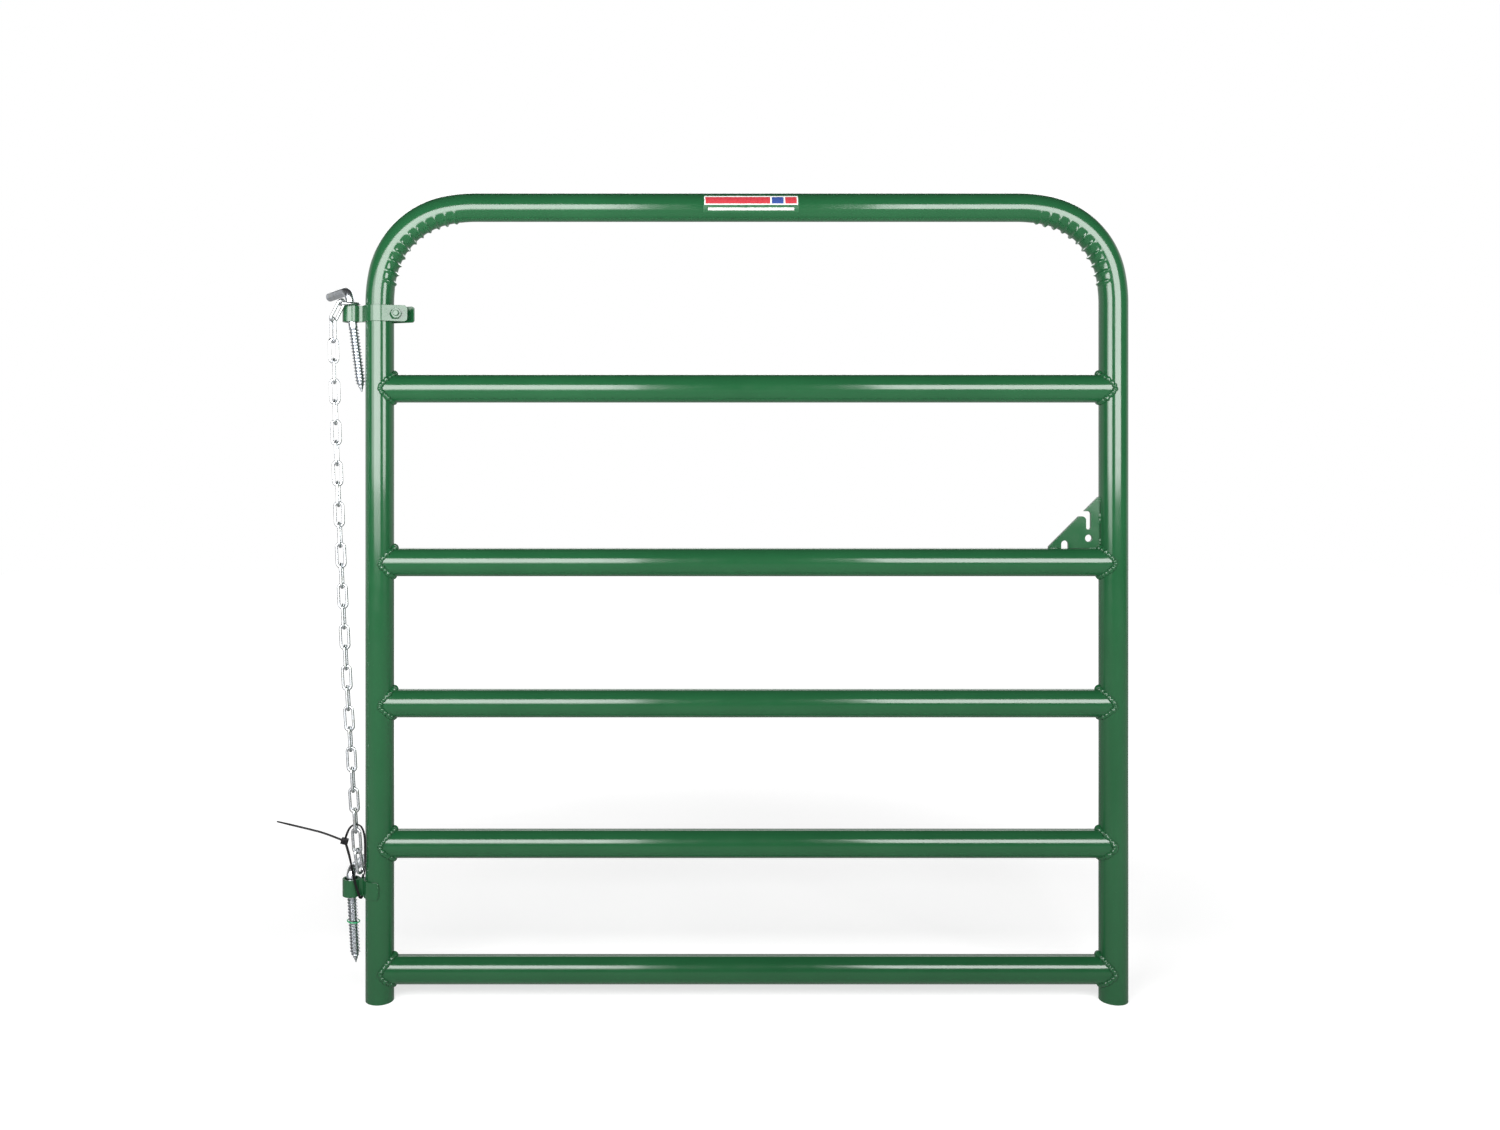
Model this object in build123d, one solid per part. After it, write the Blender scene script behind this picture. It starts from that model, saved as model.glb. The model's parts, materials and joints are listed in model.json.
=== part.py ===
"""Six-bar bow livestock gate, with its hinge hardware, screw hooks, latch chain and shipping tie.

Millimetres. X = 0 is the hinge line, the axis of the two hinge eyes. Y = 0 is the middle plane of the
tube frame and -Y is its front. Z = 0 is the level of the two tube ends that the gate stands on.
"""
import os
from math import cos, radians, sin, tan

from build123d import *

# ---- frame of bent and straight tube ----
TUBE_R = 44.45 / 2
TUBE_WALL = 1.6
LEFT_X = 45.0
RIGHT_X = 1201.0
TOP_Z = 1247.8
BEND_R = 128.0
EASE_R = 230.0
EASE_DEG = 12.0
RAIL_Z = (962.8, 689.1, 467.0, 246.1, 47.8)
WELD_GAP = 0.02

# ---- chain latch plate, welded in the corner of the right upright and the second rail ----
PLATE_T = 6.0
PLATE_LEG = 80.5
PLATE_TIP = 2.5
PLATE_CLIP = 4.0
PLATE_RAIL = 1
SLOT_X = 1161.0
SLOT_W = 7.4
SLOT_BOTTOM_Z = 740.6
SLOT_TOP_Z = 769.5
SLOT_MOUTH_H = 8.1
SLOT_MOUTH_L = 24.0
SLOT_TOOTH_FILLET = 6.0
SLOT_CORNER_FILLET = 4.5
HOLE_X = 1161.3
HOLE_Z = 727.0
HOLE_R = 5.65
NOTCH_X = 1123.7
NOTCH_W = 11.2
NOTCH_H = 12.1

# ---- hinge straps ----
STRAP_T = 3.0
EYE_R = 10.5
EYE_OUTER_R = EYE_R + STRAP_T
NECK_T = 8.0
NECK_FILLET = 3.0
UPPER_EYE_Z = 1080.0
UPPER_STRAP_H = 25.4
LOWER_EYE_Z = 178.0
LOWER_STRAP_H = 27.0
LOWER_TAIL_X = 46.0
EAR_DEG = 20.0
FRONT_EAR_X = 90.0
REAR_EAR_X = 98.0
FRONT_EAR_CORNER = 6.0
REAR_EAR_CORNER = 4.0

# ---- clamp bolt, 3/8 inch carriage bolt with a plain hex nut ----
BOLT_X = 76.0
BOLT_Z = 1079.0
BOLT_R = 4.7
BOLT_SQUARE = 9.5
BOLT_SQUARE_L = 5.0
BOLT_HEAD_R = 10.5
BOLT_HEAD_H = 5.0
BOLT_STICKOUT = 4.5
BOLT_CHAMFER = 0.8
EAR_HOLE_R = 5.1
EAR_SQUARE = 10.0
NUT_AF = 14.3
NUT_H = 8.4
NUT_HOLE_R = 4.76
NUT_BEVEL = 0.9
SEAT_GAP = 0.05

# ---- screw hooks: 5/8 inch lag thread with a smooth pin at right angles ----
ROD_R = 7.0
THREAD_R = 7.95
THREAD_ROOT_R = 6.6
THREAD_PITCH = 5.08
THREAD_CREST = 0.5
HOOK_BEND_R = 12.0
HOOK_PIN_L = 58.0
HOOK_POINT_L = 16.0
HOOK_POINT_R = 0.6
PIN_END_CHAMFER = 1.0
UPPER_HOOK = dict(eye_z=UPPER_EYE_Z, x=0.5, tilt=7.5, pin_deg=135.0, pin_z=37.0, thread_z=-21.0, tip_z=-124.0)
LOWER_HOOK = dict(eye_z=LOWER_EYE_Z, x=0.4, tilt=3.4, pin_deg=80.0, pin_z=26.0, thread_z=-15.5, tip_z=-119.4)
RING_Z = -54.0
RING_R = 9.4
RING_WIRE_R = 1.0
RING_TILT = 9.0

# ---- chain: long-link, 32 mm pitch, with one large end link round the upper hook ----
LINK_PITCH = 32.0
LINK_WIRE_R = 2.25
LINK_OUTER_W = 17.0
LINK_GAP = 0.7
LINK_COUNT = 28
END_LINK_L = 40.0
END_LINK_W = 29.0
END_LINK_WIRE_R = 2.5
CHAIN_HANG = Vector(-9.2, -21.0, 1097.5)
CHAIN_TOP = Vector(-24.0, -20.0, 1069.1)
CHAIN_LOW = Vector(12.7, -13.0, 238.3)
CHAIN_END = Vector(17.2, -12.5, 206.6)
CHAIN_BOW = 4.6
END_ROLLS = {1: 58.0, 2: 132.0, 3: 30.0, 4: 105.0, 5: 8.0, 27: -12.0, 28: 64.0}
END_LINK_BACK = Vector(3.4, 8.9, 1096.6)

# ---- cable tie round the chain's last links and the lower strap's neck ----
TIE_R = 1.2
TIE_HEAD = (9.0, 6.0, 8.0)
TIE_HEAD_FILLET = 1.0
TIE_HEAD_LEAN = -15.0
TIE_HEAD_AT = (-6.7, -15.5, 254.3)
TIE_LOOP = [
    TIE_HEAD_AT,
    (-2.6, -15.4, 269.0),
    (3.4, -14.2, 278.0),
    (11.6, -13.6, 280.6),
    (19.8, -13.8, 277.0),
    (24.9, -14.4, 262.0),
    (25.0, -14.6, 232.0),
    (24.4, -13.8, 210.0),
    (22.3, -9.0, 198.6),
    (18.6, -1.5, 195.8),
    (16.9, 6.6, 194.6),
    (16.6, 8.0, 178.0),
    (16.5, 7.0, 161.4),
    (15.8, -5.4, 159.8),
    (14.0, -10.6, 170.0),
    (9.9, -12.6, 184.0),
    (6.6, -14.6, 200.0),
    (4.0, -15.6, 216.0),
    (0.4, -15.8, 234.0),
    (-5.2, -15.5, 252.0),
]
TIE_TAIL = [TIE_HEAD_AT, (-34.0, -15.0, 265.6), (-61.0, -15.5, 272.9), (-112.3, -16.0, 285.2)]
ARC_SHARE = 0.45

# ---- blank decal on the front of the top bar ----
LABEL_X = (554.0, 703.0)
LABEL_T = 0.25
LABEL_DEG = (-30.0, 45.0)

parts = {}


def tube(length):
    """Hollow tube along +Z from the origin."""
    ring = Circle(TUBE_R) - Circle(TUBE_R - TUBE_WALL)
    return extrude(ring, length)


def bow_path():
    """Centre line of the bent tube: up the left side, across the top and down the right side."""
    corner = (EASE_R * (sin(radians(EASE_DEG)) + 1 - cos(radians(EASE_DEG)))
              + BEND_R * (cos(radians(EASE_DEG)) - sin(radians(EASE_DEG))))
    bends = ((EASE_R, EASE_DEG), (BEND_R, 90.0 - 2 * EASE_DEG), (EASE_R, EASE_DEG))
    edges = [Edge.make_line((LEFT_X, 0, 0), (LEFT_X, 0, TOP_Z - corner))]
    for straight in ((RIGHT_X - corner, 0, TOP_Z), (RIGHT_X, 0, 0)):
        for radius, angle in bends:
            edges.append(bend_edge(edges[-1] @ 1, edges[-1] % 1, radius, angle))
        edges.append(Edge.make_line(edges[-1] @ 1, straight))
    return Wire(edges)


def bend_edge(start, heading, radius, angle):
    """Arc in the XZ plane that leaves start along heading and turns to the right."""
    side = Vector(heading.Z, 0, -heading.X)
    centre = start + side * radius
    points = []
    for share in (0.5, 1.0):
        turn = radians(angle * share)
        points.append(centre - side * (radius * cos(turn)) + heading * (radius * sin(turn)))
    return Edge.make_three_point_arc(start, points[0], points[1])


def bow_frame():
    ring = Circle(TUBE_R) - Circle(TUBE_R - TUBE_WALL)
    return sweep(Pos(LEFT_X, 0, 0) * ring, path=bow_path())


def rail(height):
    """Straight rail whose two ends are coped to the uprights."""
    bar = Pos(LEFT_X, 0, height) * Rot(0, 90, 0) * tube(RIGHT_X - LEFT_X)
    for upright_x in (LEFT_X, RIGHT_X):
        bar -= Pos(upright_x, 0, height) * Cylinder(TUBE_R + WELD_GAP, 4 * TUBE_R)
    return bar.solids().sort_by(SortBy.VOLUME)[-1]


def latch_plate():
    """Triangular plate with a J slot for a chain link, a round hole and a notch over the rail."""
    right = RIGHT_X - TUBE_R - WELD_GAP
    low = RAIL_Z[PLATE_RAIL] + TUBE_R + WELD_GAP
    outline = Polyline(
        (right - PLATE_LEG, low),
        (right - PLATE_CLIP, low),
        (right, low + PLATE_CLIP),
        (right, low + PLATE_LEG),
        (right - PLATE_TIP, low + PLATE_LEG),
        (right - PLATE_LEG, low + PLATE_TIP),
        (right - PLATE_LEG, low),
    )
    face = make_face(outline)
    face -= slot_shape()
    face -= Pos(HOLE_X, HOLE_Z) * Circle(HOLE_R)
    face -= notch_shape(low)
    return extrude(Plane.XZ * face, PLATE_T / 2, both=True)


def slot_shape():
    """J slot: a mouth through the sloping edge that turns down into a round-ended slot."""
    half = SLOT_W / 2
    slot = Pos(SLOT_X, SLOT_BOTTOM_Z + half) * Circle(half)
    upright_h = SLOT_TOP_Z - SLOT_BOTTOM_Z - half
    slot += Pos(SLOT_X, SLOT_TOP_Z - upright_h / 2) * Rectangle(SLOT_W, upright_h)
    mouth = Rectangle(SLOT_MOUTH_L, SLOT_MOUTH_H)
    slot += Pos(SLOT_X - SLOT_MOUTH_L / 2, SLOT_TOP_Z - SLOT_MOUTH_H / 2) * mouth
    tooth = slot.vertices().sort_by_distance((SLOT_X - half, SLOT_TOP_Z - SLOT_MOUTH_H, 0))[0]
    slot = fillet(tooth, SLOT_TOOTH_FILLET)
    corner = slot.vertices().sort_by_distance((SLOT_X + half, SLOT_TOP_Z, 0))[0]
    return fillet(corner, SLOT_CORNER_FILLET)


def notch_shape(low_edge):
    """Round-topped notch that opens through the lower edge of the plate."""
    half = NOTCH_W / 2
    arch = Pos(NOTCH_X, low_edge + NOTCH_H - half) * Circle(half)
    return arch + Pos(NOTCH_X, low_edge + (NOTCH_H - half) / 2) * Rectangle(NOTCH_W, NOTCH_H - half)


def strap_outline():
    """Plan view of a strap: the eye, the pinched neck and the wrap round the whole upright."""
    wrap_r = TUBE_R + WELD_GAP + STRAP_T
    plan = Circle(EYE_OUTER_R) + Pos(LEFT_X, 0) * Circle(wrap_r)
    plan += Pos(LEFT_X / 2, 0) * Rectangle(LEFT_X / 2, NECK_T)
    plan -= Circle(EYE_R)
    plan -= Pos(LEFT_X, 0) * Circle(TUBE_R + WELD_GAP)
    corners = [v for v in plan.vertices() if abs(abs(v.Y) - NECK_T / 2) < 0.01 and EYE_R < v.X < LEFT_X / 2]
    return fillet(corners, NECK_FILLET)


def hinge_strap(height, centre_z, keep_x):
    """Eye, neck and the part of the wrap that lies left of keep_x."""
    solid = extrude(strap_outline(), height / 2, both=True)
    solid -= Pos(keep_x + 2 * TUBE_R, 0) * Box(4 * TUBE_R, 4 * TUBE_R, 2 * height)
    return Pos(0, 0, centre_z) * solid


def lower_hinge_eye():
    return hinge_strap(LOWER_STRAP_H, LOWER_EYE_Z, LOWER_TAIL_X)


def ear_start(side):
    """Middle of the strap where an ear leaves the wrap; side is -1 for the front, 1 for the rear."""
    middle_r = TUBE_R + WELD_GAP + STRAP_T / 2
    return LEFT_X + middle_r * sin(radians(EAR_DEG)), side * middle_r * cos(radians(EAR_DEG))


def ear(side, end_x, corner):
    """Flat ear of the clamp band that runs on at a tangent from the wrap."""
    start_x, start_y = ear_start(side)
    length = (end_x - start_x) / cos(radians(EAR_DEG))
    flat = Pos(length / 2, 0, 0) * Box(length, STRAP_T, UPPER_STRAP_H)
    tips = flat.edges().filter_by(Axis.Y).sort_by(Axis.X)[-2:]
    flat = fillet(tips, corner)
    return Pos(start_x, start_y, UPPER_EYE_Z) * Rot(0, 0, -side * EAR_DEG) * flat


def wrap_to_ear(side):
    """Stretch of the wrap between the upright's centre and the start of an ear."""
    outer = TUBE_R + WELD_GAP + STRAP_T
    ring = Circle(outer) - Circle(TUBE_R + WELD_GAP)
    far = 2 * outer
    wedge = make_face(Polyline(
        (0, 0), (0, side * far), (far * tan(radians(EAR_DEG)), side * far), (0, 0)))
    piece = extrude(ring & wedge, UPPER_STRAP_H / 2, both=True)
    return Pos(LEFT_X, 0, UPPER_EYE_Z) * piece


def upper_hinge_band():
    band = hinge_strap(UPPER_STRAP_H, UPPER_EYE_Z, LEFT_X)
    for side, end_x, corner in ((-1, FRONT_EAR_X, FRONT_EAR_CORNER), (1, REAR_EAR_X, REAR_EAR_CORNER)):
        band += wrap_to_ear(side)
        band += ear(side, end_x, corner)
    band -= Pos(BOLT_X, -TUBE_R, BOLT_Z) * Rot(90, 0, 0) * Cylinder(EAR_HOLE_R, 2 * TUBE_R)
    band -= Pos(BOLT_X, TUBE_R, BOLT_Z) * Box(EAR_SQUARE, 2 * TUBE_R, EAR_SQUARE)
    return band


def seat_y(edge_x):
    """Distance from the middle plane to the outer face of an ear at edge_x."""
    start_x, start_y = ear_start(1)
    outer_x = start_x + STRAP_T / 2 * sin(radians(EAR_DEG))
    outer_y = start_y + STRAP_T / 2 * cos(radians(EAR_DEG))
    return outer_y - (edge_x - outer_x) * tan(radians(EAR_DEG)) + SEAT_GAP


def nut_back():
    """Y of the nut's rear face, where its edge touches the sloping front ear."""
    return -seat_y(BOLT_X - NUT_AF / 2 / cos(radians(30)))


def hex_nut():
    body = extrude(RegularPolygon(NUT_AF / 2, 6, major_radius=False), NUT_H)
    body = body & Pos(0, 0, NUT_H / 2) * nut_bevel()
    body -= Cylinder(NUT_HOLE_R, 4 * NUT_H)
    return Pos(BOLT_X, nut_back(), BOLT_Z) * Rot(90, 0, 0) * body


def nut_bevel():
    """Solid of revolution that rounds off the corners of both faces of the nut."""
    corner_r = NUT_AF / 2 / cos(radians(30))
    disc = Cylinder(corner_r, NUT_H)
    return chamfer(disc.edges().filter_by(GeomType.CIRCLE), NUT_BEVEL)


def carriage_bolt():
    """Domed head behind the rear ear, square neck in it, and the shank out through the nut."""
    head_y = seat_y(BOLT_X - BOLT_HEAD_R)
    end_y = nut_back() - NUT_H - BOLT_STICKOUT
    dome_r = (BOLT_HEAD_R ** 2 + BOLT_HEAD_H ** 2) / (2 * BOLT_HEAD_H)
    profile = Line((0, 0), (BOLT_HEAD_R, 0))
    profile += RadiusArc((BOLT_HEAD_R, 0), (0, BOLT_HEAD_H), -dome_r)
    profile += Line((0, BOLT_HEAD_H), (0, 0))
    head = revolve(make_face(Plane.XZ * profile), Axis.Z)
    shank = Cylinder(BOLT_R, head_y - end_y, align=(Align.CENTER, Align.CENTER, Align.MAX))
    shank = chamfer(shank.edges().sort_by(Axis.Z)[0], BOLT_CHAMFER)
    neck = Box(BOLT_SQUARE, BOLT_SQUARE, BOLT_SQUARE_L, align=(Align.CENTER, Align.CENTER, Align.MAX))
    bolt = head + neck + shank
    return Pos(BOLT_X, head_y, BOLT_Z) * Rot(-90, 0, 0) * bolt


def hook_place(hook):
    """Frame of a hook: origin on its shank in the middle of the eye, +Z up along the shank."""
    tilt = radians(hook["tilt"])
    origin = Vector(hook["x"], 0, hook["eye_z"])
    frame = Plane(origin=origin, x_dir=(cos(tilt), 0, sin(tilt)), z_dir=(-sin(tilt), 0, cos(tilt)))
    return frame.location


def hook_rod(hook):
    """Smooth rod: the neck, the right-angle bend and the pin, which points along local +X."""
    low = hook["thread_z"]
    bend_z = hook["pin_z"] - HOOK_BEND_R
    neck = Pos(0, 0, low) * Cylinder(ROD_R, bend_z - low, align=(Align.CENTER, Align.CENTER, Align.MIN))
    section = Pos(0, 0, bend_z) * Circle(ROD_R)
    bend_axis = Axis((HOOK_BEND_R, 0, bend_z), (0, 1, 0))
    bend = revolve(section, bend_axis, 90)
    pin_l = HOOK_PIN_L - HOOK_BEND_R
    pin = Cylinder(ROD_R, pin_l, align=(Align.CENTER, Align.CENTER, Align.MIN))
    pin = chamfer(pin.edges().filter_by(GeomType.CIRCLE).sort_by(Axis.Z)[-1], PIN_END_CHAMFER)
    pin = Pos(HOOK_BEND_R, 0, hook["pin_z"]) * Rot(0, 90, 0) * pin
    return neck + bend + pin


def hook_thread(hook):
    """Lag thread as a stack of ridges, with a plain cone at its point."""
    top = hook["thread_z"]
    cone_z = hook["tip_z"] + HOOK_POINT_L
    points = [(0, top), (THREAD_ROOT_R, top)]
    ridge_count = int((top - cone_z) / THREAD_PITCH)
    for index in range(ridge_count):
        high = top - index * THREAD_PITCH
        middle = high - THREAD_PITCH / 2
        points.append((THREAD_ROOT_R, high - THREAD_PITCH / 6))
        points.append((THREAD_R, middle + THREAD_CREST / 2))
        points.append((THREAD_R, middle - THREAD_CREST / 2))
        points.append((THREAD_ROOT_R, high - THREAD_PITCH * 5 / 6))
    points.append((THREAD_ROOT_R, cone_z))
    points.append((HOOK_POINT_R, hook["tip_z"]))
    points.append((0, hook["tip_z"]))
    points.append((0, top))
    return revolve(make_face(Plane.XZ * Polyline(*points)), Axis.Z)


def screw_hook(hook):
    rod = Rot(0, 0, hook["pin_deg"]) * hook_rod(hook)
    return hook_place(hook) * (rod + hook_thread(hook))


def retaining_ring():
    """Thin plastic ring that sits askew on the lower hook's thread."""
    ring = Torus(RING_R, RING_WIRE_R)
    return hook_place(LOWER_HOOK) * Pos(0, 0, RING_Z) * Rot(0, RING_TILT, 0) * ring


def chain_link(length, width, wire_r):
    """Closed link in the XZ plane: two straight legs joined by two half rings."""
    bow_r = width / 2 - wire_r
    leg = length - 2 * wire_r - 2 * bow_r
    solid = None
    for side in (-1, 1):
        bar = Pos(side * bow_r, 0, 0) * Cylinder(wire_r, leg)
        section = Pos(bow_r, 0, 0) * Circle(wire_r)
        half = revolve(section, Axis.Y, -180)
        turned = Pos(0, 0, leg / 2) * half if side > 0 else Rot(0, 180, 0) * Pos(0, 0, leg / 2) * half
        solid = bar + turned if solid is None else solid + bar + turned
    return solid


def chain_joints():
    """Points where each link hangs on the one above it, from the end link to the free end."""
    joints = [CHAIN_HANG]
    steps = LINK_COUNT - 2
    for index in range(steps + 1):
        share = index / steps
        point = CHAIN_TOP + (CHAIN_LOW - CHAIN_TOP) * share
        joints.append(point + Vector(-4 * CHAIN_BOW * share * (1 - share), 0, 0))
    joints.append(CHAIN_END)
    return joints


def link_roll(index):
    """Angle of a link's face from the gate's plane; every second link stands edge-on."""
    return END_ROLLS.get(index, 0.0 if index % 2 else 90.0)


def placed_link(index, joints):
    """Chain link number index, from 1 at the top, between its two joints."""
    upper = joints[index - 1]
    lower = joints[index]
    up = (upper - lower).normalized()
    across = Vector(1, 0, 0) - up * up.X
    frame = Plane(origin=(upper + lower) * 0.5, x_dir=across, z_dir=up)
    length = LINK_PITCH + 4 * LINK_WIRE_R + LINK_GAP
    return frame.location * Rot(0, 0, link_roll(index)) * chain_link(length, LINK_OUTER_W, LINK_WIRE_R)


def chain_end_link():
    """Large link that lies round the upper hook's neck, on the rim of the eye."""
    front = CHAIN_HANG + Vector(0, 0, -END_LINK_WIRE_R - LINK_GAP)
    along = (front - END_LINK_BACK).normalized()
    middle = front - along * (END_LINK_L / 2 - END_LINK_WIRE_R)
    across = Vector(-along.Y, along.X, 0).normalized()
    frame = Plane(origin=middle, x_dir=across, z_dir=along)
    return frame.location * chain_link(END_LINK_L, END_LINK_W, END_LINK_WIRE_R)


def corner_radii(points):
    """Largest even arcs that the runs on both sides of each corner allow."""
    radii = []
    for before, corner, after in zip(points, points[1:], points[2:]):
        run_in = Vector(*corner) - Vector(*before)
        run_out = Vector(*after) - Vector(*corner)
        turn = radians(run_in.get_angle(run_out))
        radii.append(ARC_SHARE * min(run_in.length, run_out.length) / tan(turn / 2))
    return radii


def strand(points):
    """Round strand along a route of straight runs and tangent arcs."""
    route = FilletPolyline(*points, radius=corner_radii(points))
    start = Plane(origin=route @ 0, z_dir=route % 0)
    return sweep(start * Circle(TIE_R), path=route)


def cable_tie():
    head = fillet(Box(*TIE_HEAD).edges(), TIE_HEAD_FILLET)
    head = Pos(*TIE_HEAD_AT) * Rot(0, TIE_HEAD_LEAN, 0) * head
    return head + strand(TIE_LOOP) + strand(TIE_TAIL)


def label():
    """Thin film wrapped on the front of the top bar."""
    far = 4 * TUBE_R
    low, high = (radians(angle) for angle in LABEL_DEG)
    wedge = make_face(Polyline(
        (0, 0), (-far * cos(low), far * sin(low)), (-far * cos(high), far * sin(high)), (0, 0)))
    film = (Circle(TUBE_R + LABEL_T) - Circle(TUBE_R)) & wedge
    return Pos(LABEL_X[0], 0, TOP_Z) * extrude(Plane.YZ * film, LABEL_X[1] - LABEL_X[0])


def make_parts():
    parts["bow_frame"] = bow_frame()
    for number, height in enumerate(RAIL_Z, start=1):
        parts[f"rail_{number}"] = rail(height)
    parts["latch_plate"] = latch_plate()
    parts["upper_hinge_band"] = upper_hinge_band()
    parts["carriage_bolt"] = carriage_bolt()
    parts["hex_nut"] = hex_nut()
    parts["lower_hinge_eye"] = lower_hinge_eye()
    parts["upper_screw_hook"] = screw_hook(UPPER_HOOK)
    parts["lower_screw_hook"] = screw_hook(LOWER_HOOK)
    parts["retaining_ring"] = retaining_ring()
    parts["chain_end_link"] = chain_end_link()
    joints = chain_joints()
    for index in range(1, LINK_COUNT + 1):
        parts[f"chain_link_{index:02d}"] = placed_link(index, joints)
    parts["cable_tie"] = cable_tie()
    parts["label"] = label()


make_parts()
os.makedirs("parts", exist_ok=True)
for name, shape in parts.items():
    export_step(shape, f"parts/{name}.step")
    print(name, round(shape.volume, 1), [round(value, 1) for value in shape.bounding_box().size])
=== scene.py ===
"""Looks of the six-bar bow gate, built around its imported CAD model. Metres, in the model's own frame."""
import json
import math

import bmesh
import bpy
from mathutils import Matrix, Vector, noise

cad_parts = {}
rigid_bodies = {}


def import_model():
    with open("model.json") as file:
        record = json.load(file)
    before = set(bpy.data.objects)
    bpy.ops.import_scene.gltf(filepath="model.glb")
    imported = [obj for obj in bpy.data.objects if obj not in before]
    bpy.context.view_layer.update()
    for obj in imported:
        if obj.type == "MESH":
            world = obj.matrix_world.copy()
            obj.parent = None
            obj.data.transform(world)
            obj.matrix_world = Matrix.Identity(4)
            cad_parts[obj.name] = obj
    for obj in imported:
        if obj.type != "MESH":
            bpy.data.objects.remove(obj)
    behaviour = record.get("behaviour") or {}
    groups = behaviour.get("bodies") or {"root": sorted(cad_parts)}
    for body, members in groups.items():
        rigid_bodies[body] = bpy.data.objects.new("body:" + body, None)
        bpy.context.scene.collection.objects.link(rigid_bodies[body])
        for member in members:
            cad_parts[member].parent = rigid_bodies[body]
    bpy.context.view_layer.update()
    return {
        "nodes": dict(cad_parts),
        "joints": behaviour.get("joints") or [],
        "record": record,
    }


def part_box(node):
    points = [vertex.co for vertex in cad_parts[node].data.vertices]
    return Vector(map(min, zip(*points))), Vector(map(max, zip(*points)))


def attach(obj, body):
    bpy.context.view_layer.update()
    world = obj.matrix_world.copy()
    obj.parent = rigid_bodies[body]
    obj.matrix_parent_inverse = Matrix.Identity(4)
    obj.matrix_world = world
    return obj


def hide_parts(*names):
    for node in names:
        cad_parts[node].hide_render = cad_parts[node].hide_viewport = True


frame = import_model()
nodes = frame["nodes"]
joints = {joint["name"]: joint for joint in frame["joints"]}
mounts = {mount["name"]: mount for mount in frame["record"]["mounts"]}

MM = 0.001

# ---- sizes of the tube frame, as in the CAD model ----
TUBE_R = 22.225 * MM
TUBE_WALL = 1.6 * MM
BEND_R = 128 * MM
EASE_R = 230 * MM
EASE_DEG = 12.0
bow_low, bow_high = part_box("bow_frame")
LEFT_X = bow_low.x + TUBE_R
RIGHT_X = bow_high.x - TUBE_R
TOP_Z = bow_high.z - TUBE_R
RAILS = [f"rail_{number}" for number in range(1, 6)]
RAIL_Z = [(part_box(name)[0].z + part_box(name)[1].z) / 2 for name in RAILS]

# ---- mesh density of the tubes ----
BOW_AROUND = 80
RAIL_AROUND = 64
RAIL_SPANS = 18
RAIL_COPE_GAP = 3 * MM
BEND_STEP = 1.5 * MM
STRAIGHT_STEP = 60 * MM
TUBE_SHARP_DEG = 60.0

# ---- crimps on the inside of each bend ----
CRIMP_COUNT = 11
CRIMP_PITCH = 14.6 * MM
CRIMP_HEIGHT = 4.0 * MM
CRIMP_HALF = 2.1 * MM
CRIMP_EDGE = 0.32
CRIMP_FADE_GAIN = 1.7
CRIMP_FADE_POWER = 1.3
CRIMP_WANDER = 1.3 * MM
CRIMP_WANDER_ALONG = 90
CRIMP_WANDER_ROUND = 2.2
CRIMP_BOW = 2.2 * MM
CRIMP_SIZE = 0.8
CRIMP_SIZE_SPREAD = 0.3
CRIMP_SIZE_STEP = 3.7
CRIMP_LAST_SIZE = 0.6
CRIMP_DENT = 0.25 * MM
LEFT_BEND = dict(seed=0.7, bow=-1)
RIGHT_BEND = dict(seed=3.1, bow=1)

# ---- weld beads ----
BEAD_R = 4.0 * MM
BEAD_RIPPLE = 6.0 * MM
BEAD_LUMP = 2.4 * MM
BEAD_LUMP_SPREAD = 0.02
BEAD_APEX = 5 * MM
BEAD_STATIONS = 260
BEAD_AROUND = 12
BEAD_RIPPLE_SHARE = 0.11
BEAD_DRIFT_SHARE = 0.4
BEAD_DRIFT_SCALE = 5
LEFT_SEED_STEP = 1.37
RIGHT_SEED_STEP = 2.91
TACK_STEP = 0.5 * MM
TACK_FEWEST_STEPS = 12
TACK_RIPPLE_SHARE = 0.12
TACK_DRIFT_SHARE = 0.2
TACK_DRIFT_SCALE = 4
TACK_END_SHARE = 0.02
WELD_SHARP_DEG = 70.0

# Tacks on one side of the latch plate, in millimetres from its lower right corner: start, end, radius, seed.
PLATE_TACKS = [
    ((0, 38), (0, 56), 1.9, 0.3),
    ((0, 6), (0, 16), 1.8, 1.1),
    ((-18, 0), (-5, 0), 1.8, 2.7),
    ((-80, 0), (-66, 0), 1.9, 3.9),
    ((0, 72), (0, 81), 1.9, 5.3),
]
# End beads of the lower strap, in millimetres: how far past its tail, off the tube and short of its edges.
STRAP_BEAD_OUT = 0.6
STRAP_BEAD_PROUD = 1.0
STRAP_BEAD_SHORT = 1
STRAP_BEAD_R = 2.1
STRAP_BEAD_SEED = 7.1

# ---- screw hooks ----
ROD_R = 7.0 * MM
THREAD_R = 7.95 * MM
THREAD_ROOT_R = 5.8 * MM
THREAD_PITCH = 5.08 * MM
THREAD_CREST = 0.2 * MM
THREAD_FLANK = 1.1 * MM
THREAD_RUN_IN = 4 * MM
THREAD_RINGS = 12
POINT_R = 0.6 * MM
POINT_CREST_GAIN = 1.4
HOOK_AROUND = 48
HOOK_BEND_SPANS = 14
HOOK_BEND_R = 12 * MM
HOOK_PIN_L = 58 * MM
HOOK_POINT_L = 16 * MM
HOOK_SHARP_DEG = 55.0
# Rounding of the pin's end, in millimetres: back from the end, and less in radius.
HOOK_PIN_END = [(1.6, 0), (0.9, 0.25), (0.25, 0.9), (0, 1.7)]
HOOKS = {
    "upper": dict(pin_z=37 * MM, thread_z=-21 * MM, tip_z=-124 * MM),
    "lower": dict(pin_z=26 * MM, thread_z=-15.5 * MM, tip_z=-119.4 * MM),
}

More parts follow.
